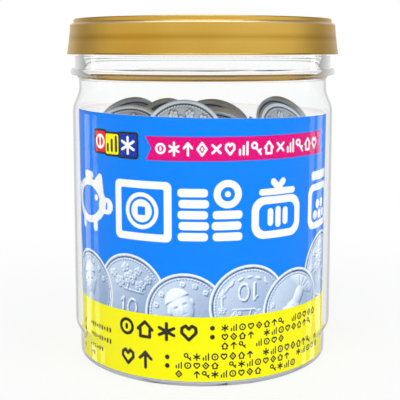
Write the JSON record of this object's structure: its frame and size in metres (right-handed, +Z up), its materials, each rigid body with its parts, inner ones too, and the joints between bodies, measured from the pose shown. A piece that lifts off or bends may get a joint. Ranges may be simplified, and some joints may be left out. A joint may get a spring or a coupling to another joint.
{
  "type": "coin bank jar",
  "caption": "Clear round screw-top jar filled with play coins, with a printed sheet rolled inside and a gold lid that has a coin slot.",
  "frame": {"origin": "centre of the ring that the jar stands on", "axes": "+Z up along the jar's axis, -Y towards the front of the printed sheet"},
  "size_m": [0.0888, 0.0888, 0.1111],
  "materials": {
    "clear_plastic": "clear, glossy",
    "printed_paper": "printed, satin",
    "seal_foam": "soft foam",
    "gold_plastic": "metallic gold, satin",
    "coin_metal": "struck, satin"
  },
  "bodies": {
    "jar": {"jar_body": "clear_plastic", "label_sheet": "printed_paper", "heap_coin_01": "coin_metal", "heap_coin_02": "coin_metal", "heap_coin_03": "coin_metal", "heap_coin_04": "coin_metal", "heap_coin_05": "coin_metal", "heap_coin_06": "coin_metal", "heap_coin_07": "coin_metal", "heap_coin_08": "coin_metal", "heap_coin_09": "coin_metal", "heap_coin_10": "coin_metal", "heap_coin_11": "coin_metal", "heap_coin_12": "coin_metal", "heap_coin_13": "coin_metal", "heap_coin_14": "coin_metal", "heap_coin_15": "coin_metal", "coin_layer_01": "coin_metal", "coin_layer_02": "coin_metal", "coin_layer_03": "coin_metal", "coin_layer_04": "coin_metal", "coin_layer_05": "coin_metal", "coin_layer_06": "coin_metal", "coin_layer_07": "coin_metal", "coin_layer_08": "coin_metal", "coin_layer_09": "coin_metal", "coin_layer_10": "coin_metal", "coin_layer_11": "coin_metal", "coin_layer_12": "coin_metal", "coin_layer_13": "coin_metal", "coin_layer_14": "coin_metal", "coin_layer_15": "coin_metal", "coin_layer_16": "coin_metal", "coin_layer_17": "coin_metal", "coin_layer_18": "coin_metal", "coin_layer_19": "coin_metal", "coin_layer_20": "coin_metal", "coin_layer_21": "coin_metal", "coin_layer_22": "coin_metal", "coin_layer_23": "coin_metal", "coin_layer_24": "coin_metal", "coin_layer_25": "coin_metal", "coin_layer_26": "coin_metal", "coin_layer_27": "coin_metal", "coin_layer_28": "coin_metal", "coin_layer_29": "coin_metal", "coin_layer_30": "coin_metal", "coin_layer_31": "coin_metal"},
    "seal": {"seal_ring": "seal_foam"},
    "lid": {"lid": "gold_plastic"}
  },
  "joints": [
    {"name": "lid_rise", "type": "slide", "parent": "jar", "child": "seal", "axis": [0, 0, 1], "range_m": [0, 0.032]},
    {"name": "lid_turn", "type": "hinge", "parent": "seal", "child": "lid", "pos_m": [0, 0, 0.1], "axis": [0, 0, 1], "range_deg": [0, 2880]}
  ],
  "couplings": [
    {"joint": "lid_rise", "follows": "lid_turn", "m_per_rad": 0.00063662}
  ]
}
